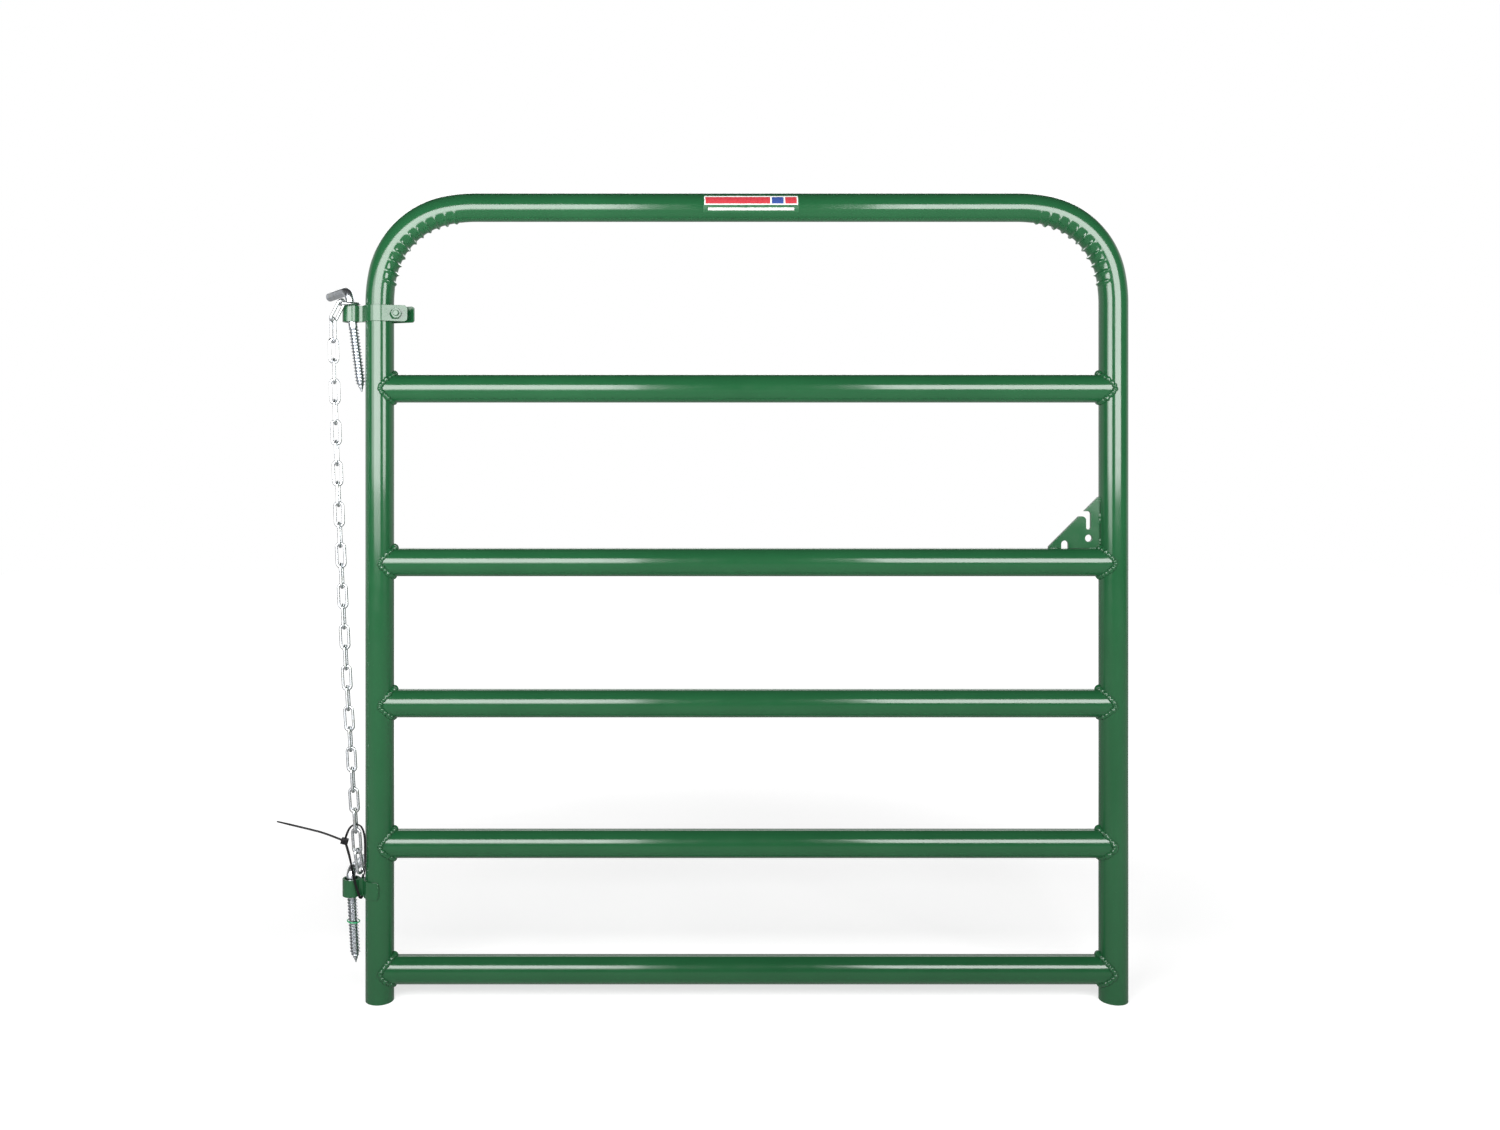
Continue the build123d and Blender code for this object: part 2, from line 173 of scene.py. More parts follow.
# ---- cable tie, the same route as its CAD strand ----
TIE_WIDTH = 3.8 * MM
TIE_THICK = 1.6 * MM
TIE_LEAN = Vector((0, -0.8, 0))
TIE_TAIL_FLAT = Vector((0, -0.3, 1))
TIE_TAIL_TAPER = 3
TIE_TAIL_TIP = 0.55
TIE_TAIL_TAPER_STEP = 0.15
TIE_SHARP_DEG = 40.0
TIE_RESOLUTION = 10
# Outline of the strap as shares of half its width and half its thickness, with a groove down its outer face.
TIE_OUTLINE = [
    (-1, -0.45), (-0.8, -1), (0.8, -1), (1, -0.45), (1, 0.45), (0.8, 1),
    (0.55, 1), (0.45, 0.72), (-0.45, 0.72), (-0.55, 1), (-0.8, 1), (-1, 0.45),
]
TIE_HEAD_SIZE = Vector((11.0, 6.4, 9.4)) * MM
TIE_HEAD_DEG = 15
TIE_HEAD_RIM = 1.2 * MM
TIE_HEAD_MOUTH = 0.9 * MM
TIE_HEAD_BEVEL = 0.45 * MM
TIE_HEAD_AT = (-6.7, -15.5, 254.3)
TIE_LOOP = [
    TIE_HEAD_AT,
    (-2.6, -15.4, 269.0),
    (3.4, -14.2, 278.0),
    (11.6, -13.6, 280.6),
    (19.8, -13.8, 277.0),
    (24.9, -14.4, 262.0),
    (25.0, -14.6, 232.0),
    (24.4, -13.8, 210.0),
    (22.3, -9.0, 198.6),
    (18.6, -1.5, 195.8),
    (16.9, 6.6, 194.6),
    (16.6, 8.0, 178.0),
    (16.5, 7.0, 161.4),
    (15.8, -5.4, 159.8),
    (14.0, -10.6, 170.0),
    (9.9, -12.6, 184.0),
    (6.6, -14.6, 200.0),
    (4.0, -15.6, 216.0),
    (0.4, -15.8, 234.0),
    (-5.2, -15.5, 252.0),
]
TIE_TAIL = [TIE_HEAD_AT, (-34.0, -15.0, 265.6), (-61.0, -15.5, 272.9), (-112.3, -16.0, 285.2)]

# ---- plates, bolt and nut: the CAD node, the new piece, its slot and the width of its rounded edges ----
SOFTENED = [
    ("latch_plate", "slotted_plate", "gate_paint", 0.5 * MM),
    ("upper_hinge_band", "clamp_band", "gate_paint", 0.4 * MM),
    ("lower_hinge_eye", "eye_strap", "gate_paint", 0.4 * MM),
    ("carriage_bolt", "clamp_bolt", "fastener_paint", 0.3 * MM),
    ("hex_nut", "clamp_nut", "fastener_paint", 0.25 * MM),
]
EDGE_DEG = 35
EDGE_SEGMENTS = 3
FLAT_DEG = 0.5
FLAT_WEIGHT = 100
MERGE_GAP = 1e-6

# ---- colours of the finishes, linear, and the span that holds the bulk of a noise ----
NOISE_LOW = 0.3
NOISE_HIGH = 0.7
PAINT_DEEP = (0.0090, 0.068, 0.0235)
PAINT_LIGHT = (0.0115, 0.079, 0.028)
PAINT_SPECK = (0.028, 0.13, 0.055)
PAINT_SPECK_ABOVE = 0.735
WELD_DULLNESS = 0.05
HOOK_TINT = (0.60, 0.63, 0.67)
# Painted shade in the hooks' thread roots: how dark the roots get, and the pointiness where that shade is
# full and where it ends.
HOOK_ROOT_SHADE = 0.16
FULL_SHADE_POINTINESS = 0.44
NO_SHADE_POINTINESS = 0.505
CHAIN_TINT = (0.66, 0.68, 0.705)
ZINC_ROUGH = 0.18
ZINC_ROUGH_SPREAD = 0.16
ZINC_LIGHT = 1.12
ZINC_WARM = (0.93, 0.92, 0.84)
NYLON_DEEP = (0.004, 0.004, 0.0045)
NYLON_LIGHT = (0.008, 0.008, 0.009)
RING_DEEP = (0.015, 0.26, 0.10)
RING_LIGHT = (0.03, 0.36, 0.15)
FILM_DEEP = (0.0120, 0.082, 0.029)
FILM_LIGHT = (0.0150, 0.096, 0.035)
PALE_DEEP = (0.60, 0.61, 0.58)
PALE_LIGHT = (0.74, 0.74, 0.72)
RED = (0.40, 0.035, 0.045)
BLUE = (0.03, 0.06, 0.22)
BLACK = (0.0, 0.0, 0.0)
WHITE = (1.0, 1.0, 1.0)
# Printed blocks of the film: left, right, bottom and top as shares of its size, and ink (None is pale).
LABEL_BLOCKS = [
    ((0.010, 0.990, 0.42, 0.97), None),
    ((0.022, 0.700, 0.49, 0.90), RED),
    ((0.716, 0.840, 0.49, 0.90), BLUE),
    ((0.856, 0.978, 0.49, 0.90), RED),
    ((0.050, 0.950, 0.12, 0.26), None),
]

# ---- studio ----
FLOOR_X = (-4.0, 5.5)
FLOOR_Y = (-4.0, 7.0)
FLOOR_DIM_AT = Vector((0.6, 0.0, 0.0))
FLOOR_NEAR_GLOW = 0.74
FLOOR_FAR_GLOW = 1.25
FLOOR_GLOW_FROM = 0.70
FLOOR_GLOW_TO = 2.00
FLOOR_WHITE = 0.82
FLOOR_MATT = 0.50
FLOOR_CLOUD = 0.02
FLOOR_MIRRORED = 0.30
WORLD_DIM = 0.07
WORLD_BACK = 0.6
# Directions over which the world's light fades from dim to white: an axis, where it starts and where it ends.
WORLD_FADES = (("Y", -0.10, 0.35), ("Z", 0.62, 0.30))
PANEL_Y = -1.35
PANEL_BOTTOM = 0.76
PANEL_FADE_BOTTOM = 0.60
PANEL_FADE_RADIANCE = 4.2
PANEL_TOP = 1.60
PANEL_RADIANCE = 9.8
FAR_PANEL_X = (-1.90, -0.90)
FAR_PANEL_RADIANCE = 4.8
LEFT_PANEL_X = (-0.90, 0.44)
RIGHT_PANEL_X = (1.06, 2.30)
REAR_PANEL_X = (-1.20, 2.40)
REAR_PANEL_Z = (1.80, 2.60)
REAR_PANEL_Y = 2.6
REAR_PANEL_RADIANCE = 3.0
CARD_X = (0.66, 0.98)
CARD_Z = (1.10, 1.36)
ZINC_PANEL_X = (-1.60, 1.60)
ZINC_PANEL_Z = (-0.60, 0.70)
ZINC_PANEL_RADIANCE = 1.4
ZINC_PREFIXES = ("chain_", "upper_hook_steel", "lower_hook_steel")

# ---- camera: level and square to the gate, with its picture shifted ----
CAMERA_AT = Vector((0.4708, -1.97, 0.8659))
CAMERA_SENSOR = 36.0
CAMERA_FOCAL_SHARE = 5 / 6
CAMERA_SHIFT_X = 1 / 15
CAMERA_SHIFT_Y = -23 / 300
CAMERA_CLIP_END = 200.0


# ------------------------------------------------------------------ materials

class Shader:
    """A node material under construction; every helper that makes a node returns its output socket."""

    def __init__(self, name):
        self.material = bpy.data.materials.new(name)
        self.material.use_nodes = True
        self.tree = self.material.node_tree
        self.tree.nodes.clear()
        self.output = self.tree.nodes.new("ShaderNodeOutputMaterial")
        self.bsdf = self.tree.nodes.new("ShaderNodeBsdfPrincipled")
        self.link(self.bsdf.outputs["BSDF"], self.output.inputs["Surface"])
        self.coords = self.tree.nodes.new("ShaderNodeTexCoord").outputs["Object"]

    def link(self, source, target):
        """Join an output socket to an input socket."""
        self.tree.links.new(source, target)

    def feed(self, source, slot):
        """Join an output socket to an input of the surface."""
        self.link(source, self.bsdf.inputs[slot])

    def set(self, **values):
        """Plain values of the surface, with underscores for the spaces in their names."""
        for key, value in values.items():
            self.bsdf.inputs[key.replace("_", " ")].default_value = value

    def noise(self, scale, detail=3.0):
        """Cloudy noise in object space."""
        node = self.tree.nodes.new("ShaderNodeTexNoise")
        node.inputs["Scale"].default_value = scale
        node.inputs["Detail"].default_value = detail
        self.link(self.coords, node.inputs["Vector"])
        return node.outputs["Fac"]

    def ramp(self, source, *stops):
        """Colours between stops, each a place and a colour."""
        node = self.tree.nodes.new("ShaderNodeValToRGB")
        elements = node.color_ramp.elements
        while len(elements) < len(stops):
            elements.new(1.0)
        for element, (place, colour) in zip(elements, stops):
            element.position = place
            element.color = (*colour, 1.0)
        self.link(source, node.inputs["Fac"])
        return node.outputs["Color"]

    def two_tone(self, source, deep, light):
        """Colours of a noise: its bulk is stretched from deep to light."""
        return self.ramp(source, (NOISE_LOW, deep), (NOISE_HIGH, light))

    def spread(self, source, low, high):
        """Values of a noise: its bulk is stretched to the span from low to high."""
        node = self.tree.nodes.new("ShaderNodeMapRange")
        node.inputs["From Min"].default_value = NOISE_LOW
        node.inputs["From Max"].default_value = NOISE_HIGH
        node.inputs["To Min"].default_value = low
        node.inputs["To Max"].default_value = high
        self.link(source, node.inputs["Value"])
        return node.outputs["Result"]

    def math(self, kind, first, second):
        """Arithmetic of one kind on two numbers or sockets."""
        node = self.tree.nodes.new("ShaderNodeMath")
        node.operation = kind
        for slot, value in zip(node.inputs, (first, second)):
            if isinstance(value, (int, float)):
                slot.default_value = value
            else:
                self.link(value, slot)
        return node.outputs["Value"]

    def mix(self, factor, first, second):
        """Blend of two colours or sockets."""
        node = self.tree.nodes.new("ShaderNodeMix")
        node.data_type = "RGBA"
        self.link(factor, node.inputs["Factor"])
        for slot, value in ((node.inputs["A"], first), (node.inputs["B"], second)):
            if isinstance(value, tuple):
                slot.default_value = (*value, 1.0)
            else:
                self.link(value, slot)
        return node.outputs["Result"]

    def bump(self, height, strength, distance):
        """Relief of a noise, on top of any relief before it."""
        node = self.tree.nodes.new("ShaderNodeBump")
        node.inputs["Strength"].default_value = strength
        node.inputs["Distance"].default_value = distance
        self.link(height, node.inputs["Height"])
        if self.bsdf.inputs["Normal"].is_linked:
            self.link(self.bsdf.inputs["Normal"].links[0].from_socket, node.inputs["Normal"])
        self.link(node.outputs["Normal"], self.bsdf.inputs["Normal"])


def gate_paint(name, dullness=0.0):
    """Glossy green powder coat: slow tone drift, light specks, dulled patches and faint orange peel."""
    shader = Shader(name)
    colour = shader.two_tone(shader.noise(scale=7.0, detail=4.0), PAINT_DEEP, PAINT_LIGHT)
    specks = shader.math("GREATER_THAN", shader.noise(scale=900.0, detail=2.0), PAINT_SPECK_ABOVE)
    shader.feed(shader.mix(specks, colour, PAINT_SPECK), "Base Color")
    patches = shader.noise(scale=38.0, detail=5.0)
    shader.feed(shader.spread(patches, 0.13 + dullness, 0.20 + dullness), "Roughness")
    shader.bump(shader.noise(scale=430.0, detail=2.0), strength=0.03, distance=0.0002)
    shader.bump(shader.noise(scale=60.0, detail=2.0), strength=0.012, distance=0.0010)
    shader.set(IOR=1.5, Coat_Weight=0.3, Coat_Roughness=0.09)
    return shader.material


def zinc(name, tint, root_shade=1.0):
    """Bright zinc plate: cloudy passivation, grain and fine scuffs; the third argument, when below 1, paints
    shade into the thread roots, where the skin is least pointy.
    """
    shader = Shader(name)
    light = tuple(min(1.0, channel * ZINC_LIGHT) for channel in tint)
    warm = tuple(channel * share for channel, share in zip(tint, ZINC_WARM))
    plate = shader.ramp(shader.noise(scale=160.0, detail=5.0), (0.32, warm), (0.5, tint), (0.68, light))
    if root_shade < 1.0:
        # Painted shade: the thread roots, found by low pointiness, are darkened towards the tint times the
        # shade share.
        pointiness = shader.tree.nodes.new("ShaderNodeNewGeometry").outputs["Pointiness"]
        ridge = shader.ramp(pointiness, (FULL_SHADE_POINTINESS, BLACK), (NO_SHADE_POINTINESS, WHITE))
        plate = shader.mix(ridge, tuple(channel * root_shade for channel in tint), plate)
    shader.feed(plate, "Base Color")
    grain = shader.noise(scale=520.0, detail=4.0)
    shader.feed(shader.spread(grain, ZINC_ROUGH, ZINC_ROUGH + ZINC_ROUGH_SPREAD), "Roughness")
    shader.bump(shader.noise(scale=1400.0), strength=0.10, distance=0.00012)
    shader.bump(shader.noise(scale=240.0), strength=0.08, distance=0.0003)
    shader.set(Metallic=1.0)
    return shader.material


def nylon(name):
    """Moulded black nylon with a faint satin grain."""
    shader = Shader(name)
    shader.feed(shader.two_tone(shader.noise(scale=300.0), NYLON_DEEP, NYLON_LIGHT), "Base Color")
    shader.feed(shader.spread(shader.noise(scale=900.0), 0.34, 0.5), "Roughness")
    shader.bump(shader.noise(scale=1800.0), strength=0.15, distance=0.0001)
    shader.set(Specular_IOR_Level=0.3)
    return shader.material


def ring_plastic(name):
    """Thin bright green plastic."""
    shader = Shader(name)
    shader.feed(shader.two_tone(shader.noise(scale=400.0), RING_DEEP, RING_LIGHT), "Base Color")
    shader.feed(shader.spread(shader.noise(scale=1200.0), 0.22, 0.36), "Roughness")
    shader.bump(shader.noise(scale=1500.0), strength=0.12, distance=0.0001)
    return shader.material


def label_film(name):
    """Clear film printed with plain red and blue blocks on pale, and a thin pale line; no lettering."""
    low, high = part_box("label")
    shader = Shader(name)
    split = shader.tree.nodes.new("ShaderNodeSeparateXYZ")
    shader.link(shader.coords, split.inputs["Vector"])

    def within(axis, start, end, first, last):
        """Mask of one axis of the film, which runs from start to end, between two shares of it."""
        centre = start + (end - start) * (first + last) / 2
        away = shader.math("ABSOLUTE", shader.math("SUBTRACT", split.outputs[axis], centre), 0.0)
        return shader.math("LESS_THAN", away, (end - start) * (last - first) / 2)

    wear = shader.noise(scale=90.0, detail=5.0)
    colour = shader.two_tone(wear, FILM_DEEP, FILM_LIGHT)
    pale = shader.two_tone(wear, PALE_DEEP, PALE_LIGHT)
    for (left, right, bottom, top), ink in LABEL_BLOCKS:
        across = within("X", low.x, high.x, left, right)
        block = shader.math("MULTIPLY", across, within("Z", low.z, high.z, bottom, top))
        colour = shader.mix(block, colour, pale if ink is None else ink)
    shader.feed(colour, "Base Color")
    shader.feed(shader.spread(shader.noise(scale=200.0), 0.24, 0.36), "Roughness")
    shader.bump(shader.noise(scale=500.0), strength=0.06, distance=0.0002)
    return shader.material


def floor_white(name):
    """Matt white sweep, brightest towards its rim and dimmer where the paint and the zinc mirror it."""
    shader = Shader(name)
    mirrored = shader.tree.nodes.new("ShaderNodeLightPath").outputs["Is Glossy Ray"]
    for slot, level in (("Base Color", FLOOR_MATT), ("Emission Color", FLOOR_WHITE)):
        cloud = shader.noise(scale=1.2, detail=2.0)
        tone = shader.two_tone(cloud, (level - FLOOR_CLOUD,) * 3, (level + FLOOR_CLOUD,) * 3)
        shader.feed(shader.mix(mirrored, tone, (level * FLOOR_MIRRORED,) * 3), slot)
    offset = shader.tree.nodes.new("ShaderNodeVectorMath")
    offset.operation = "DISTANCE"
    offset.inputs[1].default_value = FLOOR_DIM_AT
    shader.link(shader.coords, offset.inputs[0])
    glow = shader.tree.nodes.new("ShaderNodeMapRange")
    glow.interpolation_type = "SMOOTHSTEP"
    limits = (FLOOR_GLOW_FROM, FLOOR_GLOW_TO, FLOOR_NEAR_GLOW, FLOOR_FAR_GLOW)
    for slot, limit in zip(("From Min", "From Max", "To Min", "To Max"), limits):
        glow.inputs[slot].default_value = limit
    shader.link(offset.outputs["Value"], glow.inputs["Value"])
    shader.feed(glow.outputs["Result"], "Emission Strength")
    shader.set(Roughness=0.9)
    return shader.material


PAINT = gate_paint("gate_paint")
WELD_PAINT = gate_paint("weld_paint", WELD_DULLNESS)
# The hooks' zinc carries painted shade in its thread roots.
HOOK_ZINC = zinc("hook_zinc", HOOK_TINT, HOOK_ROOT_SHADE)
CHAIN_ZINC = zinc("chain_zinc", CHAIN_TINT)
NYLON = nylon("tie_nylon")
RING = ring_plastic("ring_plastic")
FILM = label_film("label_film")


# ------------------------------------------------------------------ mesh helpers

def add_object(name, data):
    """New object in the scene."""
    piece = bpy.data.objects.new(name, data)
    bpy.context.scene.collection.objects.link(piece)
    return piece


def make_object(name, points, faces, material, body, sharp_deg):
    """New mesh piece, smooth shaded with its sharp edges kept, riding on a CAD body."""
    mesh = bpy.data.meshes.new(name)
    mesh.from_pydata([tuple(point) for point in points], [], faces)
    work = bmesh.new()
    work.from_mesh(mesh)
    bmesh.ops.recalc_face_normals(work, faces=work.faces)
    work.to_mesh(mesh)
    work.free()
    mesh.polygons.foreach_set("use_smooth", [True] * len(mesh.polygons))
    mesh.set_sharp_from_angle(angle=math.radians(sharp_deg))
    mesh.update()
    piece = add_object(name, mesh)
    piece.data.materials.append(material)
    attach(piece, body)
    return piece


def skin(rings, closed=False):
    """Faces between equal rings; closed joins the last ring to the first, else both ends are capped."""
    around = len(rings[0])
    points = [point for ring in rings for point in ring]
    faces = []
    spans = len(rings) if closed else len(rings) - 1
    for index in range(spans):
        here = index * around
        there = ((index + 1) % len(rings)) * around
        for step in range(around):
            after = (step + 1) % around
            faces.append((here + step, here + after, there + after, there + step))
    if not closed:
        faces.append(tuple(range(around)))
        faces.append(tuple(len(points) - around + step for step in range(around)))
    return points, faces


def merge(*shells):
    """One list of points and faces from several skins."""
    points = []
    faces = []
    for shell_points, shell_faces in shells:
        faces += [tuple(corner + len(points) for corner in face) for face in shell_faces]
        points += shell_points
    return points, faces


def circle(count):
    """Angles of the points round a ring."""
    return [2 * math.pi * step / count for step in range(count)]


def sweep_rings(line, radius_at, closed):
    """Round rings along a line of points, square to it and without twist."""
    rings = []
    side = None
    count = len(line)
    for index, point in enumerate(line):
        before = line[index - 1] if closed or index else point
        after = line[(index + 1) % count] if closed or index < count - 1 else point
        heading = (after - before).normalized()
        if side is None:
            side = heading.orthogonal()
        side = (side - heading * side.dot(heading)).normalized()
        other = heading.cross(side)
        radius = radius_at(index)
        rings.append([
            point + (side * math.cos(angle) + other * math.sin(angle)) * radius
            for angle in circle(BEAD_AROUND)])
    return rings


def softened(node, name, width):
    """Painted copy of a CAD node with its hard edges rounded over and its flats kept flat in the light."""
    mesh = nodes[node].data.copy()
    mesh.name = name
    mesh.materials.clear()
    if "custom_normal" in mesh.attributes:
        mesh.attributes.remove(mesh.attributes["custom_normal"])
    work = bmesh.new()
    work.from_mesh(mesh)
    bmesh.ops.remove_doubles(work, verts=work.verts, dist=MERGE_GAP)
    bmesh.ops.dissolve_limit(
        work, angle_limit=math.radians(FLAT_DEG), verts=work.verts, edges=work.edges)
    for face in work.faces:
        face.smooth = True
    for edge in work.edges:
        edge.smooth = edge.calc_face_angle(0.0) < math.radians(EDGE_DEG)
    work.to_mesh(mesh)
    work.free()
    piece = add_object(name, mesh)
    bevel = piece.modifiers.new("edges", "BEVEL")
    bevel.width = width
    bevel.segments = EDGE_SEGMENTS
    bevel.limit_method = "ANGLE"
    bevel.angle_limit = math.radians(EDGE_DEG)
    bevel.use_clamp_overlap = True
    weigh = piece.modifiers.new("flats", "WEIGHTED_NORMAL")
    weigh.keep_sharp = False
    weigh.weight = FLAT_WEIGHT
    graph = bpy.context.evaluated_depsgraph_get()
    rounded = bpy.data.meshes.new_from_object(piece.evaluated_get(graph))
    piece.modifiers.clear()
    piece.data = rounded
    rounded.materials.clear()
    rounded.materials.append(PAINT)
    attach(piece, "gate")
    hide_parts(node)


# ------------------------------------------------------------------ bent tube

def bow_stations():
    """Stations along the bent tube: place, heading angle from straight up, and way round the crimps."""
    ease = math.radians(EASE_DEG)
    corner = EASE_R * (math.sin(ease) + 1 - math.cos(ease)) + BEND_R * (math.cos(ease) - math.sin(ease))
    side_run = TOP_Z - corner
    top_run = RIGHT_X - LEFT_X - 2 * corner
    stations = []
    place = Vector((LEFT_X, 0, 0))
    heading = 0.0
    for run, bends in ((side_run, True), (top_run, True), (side_run, False)):
        steps = round(run / STRAIGHT_STEP)
        ahead = Vector((math.sin(heading), 0, math.cos(heading)))
        stations += [(place + ahead * (run * step / steps), heading, None) for step in range(steps + 1)]
        place = place + ahead * run
        if bends:
            bend, place, heading = bend_stations(place, heading, ease)
            stations += bend
    return stations


def bend_stations(place, heading, ease):
    """Stations round one bend; the last value counts along the bend's inner side from its middle."""
    parts = ((EASE_R, ease), (BEND_R, math.pi / 2 - 2 * ease), (EASE_R, ease))
    inner_half = sum((radius - TUBE_R) * angle for radius, angle in parts) / 2
    along = -inner_half
    stations = []
    for radius, angle in parts:
        inward = Vector((math.cos(heading), 0, -math.sin(heading)))
        centre = place + inward * radius
        steps = round(radius * angle / BEND_STEP)
        for step in range(1, steps + 1):
            turned = heading + angle * step / steps
            inward = Vector((math.cos(turned), 0, -math.sin(turned)))
            along += (radius - TUBE_R) * angle / steps
            stations.append((centre - inward * radius, turned, along))
        heading += angle
        place = stations[-1][0]
    return stations[:-1], place, heading


def crimp(along, angle, bend):
    """How far the skin stands proud of the round tube at one point of a bend."""
    if along is None:
        return 0.0
    inner = (math.cos(angle) - CRIMP_EDGE) / (1 - CRIMP_EDGE)
    if inner <= 0.0:
        return 0.0
    fade = min(1.0, CRIMP_FADE_GAIN * inner) ** CRIMP_FADE_POWER
    seed = bend["seed"]
    round_tube = math.sin(angle)
    wander = noise.noise(Vector((along * CRIMP_WANDER_ALONG, round_tube * CRIMP_WANDER_ROUND, seed)))
    bowed = along + CRIMP_BOW * round_tube ** 2 * bend["bow"] + CRIMP_WANDER * wander
    number = round(bowed / CRIMP_PITCH)
    half_count = (CRIMP_COUNT - 1) // 2
    if abs(number) > half_count:
        return 0.0
    size = CRIMP_SIZE + CRIMP_SIZE_SPREAD * noise.noise(Vector((number * CRIMP_SIZE_STEP, seed, 0.5)))
    size *= 1.0 if abs(number) < half_count else CRIMP_LAST_SIZE
    offset = (bowed - number * CRIMP_PITCH) / CRIMP_HALF
    ridge = math.exp(-offset * offset)
    return fade * (CRIMP_HEIGHT * size * ridge - CRIMP_DENT * (1 - ridge))


def bow_rings(radius, crimped):
    """Rings along the whole bent tube, from the left foot to the right one."""
    rings = []
    for place, heading, along in bow_stations():
        inward = Vector((math.cos(heading), 0, -math.sin(heading)))
        bend = RIGHT_BEND if heading > math.pi / 2 else LEFT_BEND
        ring = []
        for angle in circle(BOW_AROUND):
            proud = crimp(along, angle, bend) if crimped else 0.0
            out = inward * math.cos(angle) + Vector((0, 1, 0)) * math.sin(angle)
            ring.append(place + out * (radius + proud))
        rings.append(ring)
    return rings


def bow_frame():
    """Bent tube with an open bore and crimps inside both bends."""
    outer = bow_rings(TUBE_R, True)
    inner = bow_rings(TUBE_R - TUBE_WALL, False)
    points, faces = skin(outer + inner[::-1], closed=True)
    piece = make_object("bent_tube", points, faces, PAINT, "gate", TUBE_SHARP_DEG)
    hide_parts("bow_frame")


# ------------------------------------------------------------------ rails and welds

def saddle_reach(across, apex=0.0):
    """Distance from an upright's axis to its surface, at a distance across from the middle plane."""
    return math.sqrt(max(0.0, TUBE_R ** 2 - across ** 2) + apex ** 2)


def rail_rings(height, radius):
    """Rings along one rail; the first and last follow the surface of the uprights."""
    start = LEFT_X + TUBE_R + RAIL_COPE_GAP
    end = RIGHT_X - TUBE_R - RAIL_COPE_GAP
    stops = [start + (end - start) * step / RAIL_SPANS for step in range(RAIL_SPANS + 1)]
    rings = []
    for stop in [None] + stops + [None]:
        ring = []
        for angle in circle(RAIL_AROUND):
            across = radius * math.sin(angle)
            x = stop
            if stop is None and not rings:
                x = LEFT_X + saddle_reach(across)
            elif stop is None:
                x = RIGHT_X - saddle_reach(across)
            ring.append(Vector((x, across, height + radius * math.cos(angle))))
        rings.append(ring)
    return rings


def rails():
    """Five rails with open bores and coped ends."""
    for name, height in zip(RAILS, RAIL_Z):
        outer = rail_rings(height, TUBE_R)
        inner = rail_rings(height, TUBE_R - TUBE_WALL)
        points, faces = skin(outer + inner[::-1], closed=True)
        piece = make_object(f"{name}_tube", points, faces, PAINT, "gate", TUBE_SHARP_DEG)
        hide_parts(name)


def welds(name, beads):
    """One piece from several beads."""
    points, faces = merge(*beads)
    make_object(name, points, faces, WELD_PAINT, "gate", WELD_SHARP_DEG)


def saddle_bead(upright_x, side, height, seed):
    """Weld bead round one coped joint, rippled along its length and heavier at the top."""
    line = []
    for angle in circle(BEAD_STATIONS):
        across = TUBE_R * math.sin(angle)
        reach = saddle_reach(across, BEAD_APEX)
        line.append(Vector((upright_x + side * reach, across, height + TUBE_R * math.cos(angle))))
    length = sum((line[index] - line[index - 1]).length for index in range(BEAD_STATIONS))
    ripples = round(length / BEAD_RIPPLE)

    def radius_at(index):
        share = index / BEAD_STATIONS
        angle = 2 * math.pi * share
        ripple = BEAD_RIPPLE_SHARE * math.cos(2 * math.pi * ripples * share)
        place = (math.cos(angle) * BEAD_DRIFT_SCALE, math.sin(angle) * BEAD_DRIFT_SCALE, seed)
        drift = BEAD_DRIFT_SHARE * noise.noise(Vector(place))
        lump = math.exp(-((1 - math.cos(angle)) / BEAD_LUMP_SPREAD))
        return BEAD_R * (1 + ripple + drift) + BEAD_LUMP * lump

    return skin(sweep_rings(line, radius_at, True), closed=True)


def rail_welds():
    """Two saddle beads for each rail."""
    for number, height in enumerate(RAIL_Z, start=1):
        welds(f"rail_{number}_welds", [
            saddle_bead(LEFT_X, 1, height, number * LEFT_SEED_STEP),
            saddle_bead(RIGHT_X, -1, height, number * RIGHT_SEED_STEP),
        ])


def straight_bead(start, end, radius, seed):
    """Short rippled bead with rounded ends; its places and radius are in millimetres."""
    start = Vector(start) * MM
    end = Vector(end) * MM
    length = (end - start).length
    count = max(TACK_FEWEST_STEPS, round(length / TACK_STEP))
    line = [start.lerp(end, index / count) for index in range(count + 1)]
    ripples = length / BEAD_RIPPLE

    def radius_at(index):
        share = index / count
        ends = math.sqrt(max(TACK_END_SHARE, 1 - abs(2 * share - 1) ** 4))
        ripple = TACK_RIPPLE_SHARE * math.cos(2 * math.pi * ripples * share)
        drift = TACK_DRIFT_SHARE * noise.noise(Vector((share * TACK_DRIFT_SCALE, seed, 0)))
        return radius * MM * ends * (1 + ripple + drift)

    return skin(sweep_rings(line, radius_at, False))


def hardware_welds():
    """Tacks of the latch plate on both its faces, and the two end beads of the lower strap."""
    low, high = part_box("latch_plate")
    half_t = (high.y - low.y) / 2 / MM
    right = high.x / MM
    foot = low.z / MM
    tacks = []
    for side in (-1, 1):
        for start, end, radius, seed in PLATE_TACKS:
            first, last = ((right + x, side * half_t, foot + z) for x, z in (start, end))
            tacks.append(straight_bead(first, last, radius, side + seed))
    welds("latch_plate_welds", tacks)
    low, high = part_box("lower_hinge_eye")
    x = high.x / MM + STRAP_BEAD_OUT
    bottom = low.z / MM + STRAP_BEAD_SHORT
    top = high.z / MM - STRAP_BEAD_SHORT
    beads = []
    for side in (-1, 1):
        y = side * (TUBE_R / MM + STRAP_BEAD_PROUD)
        beads.append(straight_bead((x, y, bottom), (x, y, top), STRAP_BEAD_R, side + STRAP_BEAD_SEED))
    welds("lower_eye_welds", beads)


# ------------------------------------------------------------------ screw hooks

